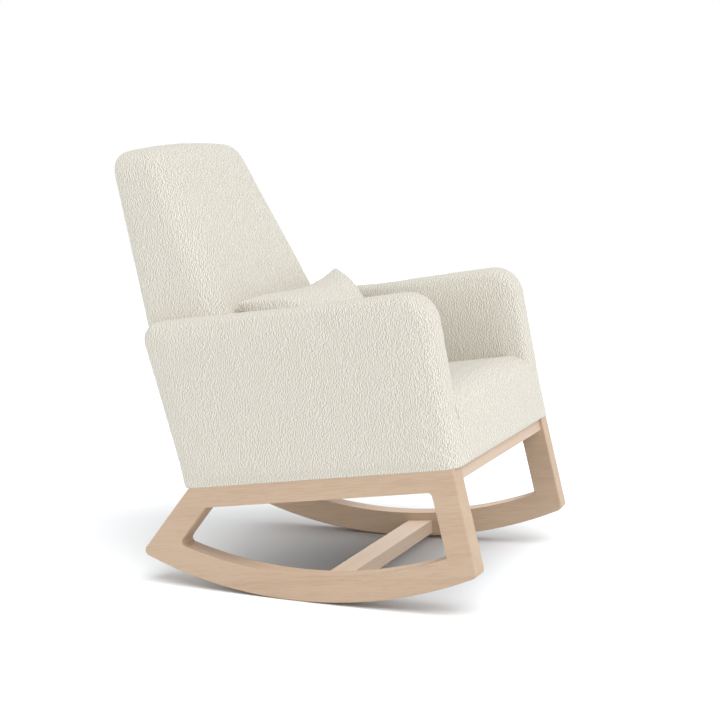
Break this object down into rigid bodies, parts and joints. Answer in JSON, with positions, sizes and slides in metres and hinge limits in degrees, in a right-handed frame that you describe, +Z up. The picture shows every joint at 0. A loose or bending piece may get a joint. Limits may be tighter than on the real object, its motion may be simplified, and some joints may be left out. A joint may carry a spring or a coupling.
{
  "type": "upholstered rocking chair",
  "caption": "Upholstered rocking armchair with padded arms, a raked back, a crowned seat and a loose lumbar pillow, on a wooden base with curved runners that roll on the floor.",
  "frame": {"origin": "middle of the line where the runners touch the floor at rest", "axes": "-Y is the way the sitter faces, +X the sitter's left, +Z up"},
  "size_m": [0.7128, 0.8775, 0.9404],
  "materials": {
    "maple": "pale maple, satin lacquer",
    "frame_wood": "sawn hardwood frame, unfinished",
    "boucle": "ivory boucle cloth",
    "foam": "upholstery foam",
    "filling": "fibre filling",
    "webbing": "woven elastic webbing",
    "felt": "needled felt pad",
    "dust_cloth": "black spun-bonded cloth",
    "screw_steel": "zinc-plated steel"
  },
  "bodies": {
    "chair": {"back_cover": "boucle", "back_foam": "foam", "back_low_rail": "frame_wood", "back_top_rail": "frame_wood", "back_webbing": "webbing", "base_screws": "screw_steel", "cross_tenons": "frame_wood", "dust_cover": "dust_cloth", "front_rail": "maple", "left_arm_bottom_rail": "frame_wood", "left_arm_cover": "boucle", "left_arm_foam": "foam", "left_arm_front_post": "frame_wood", "left_arm_inner_board": "frame_wood", "left_arm_rear_post": "frame_wood", "left_arm_top_rail": "frame_wood", "left_back_panel": "frame_wood", "left_front_leg": "maple", "left_rear_leg": "maple", "left_runner": "maple", "left_side_rail": "maple", "leg_tenons": "frame_wood", "rear_rail": "maple", "right_arm_bottom_rail": "frame_wood", "right_arm_cover": "boucle", "right_arm_foam": "foam", "right_arm_front_post": "frame_wood", "right_arm_inner_board": "frame_wood", "right_arm_rear_post": "frame_wood", "right_arm_top_rail": "frame_wood", "right_back_panel": "frame_wood", "right_front_leg": "maple", "right_rear_leg": "maple", "right_runner": "maple", "right_side_rail": "maple", "seat_corner_blocks": "frame_wood", "seat_cover": "boucle", "seat_felt": "felt", "seat_foam": "foam", "seat_front_rail": "frame_wood", "seat_rear_rail": "frame_wood", "seat_webbing": "webbing", "stretcher": "maple"},
    "pillow": {"pillow_cover": "boucle", "pillow_filling": "filling"}
  },
  "joints": [
    {"name": "pillow_lift", "type": "slide", "parent": "chair", "child": "pillow", "axis": [0, -0.766, 0.6428], "range_m": [0, 0.6]}
  ]
}
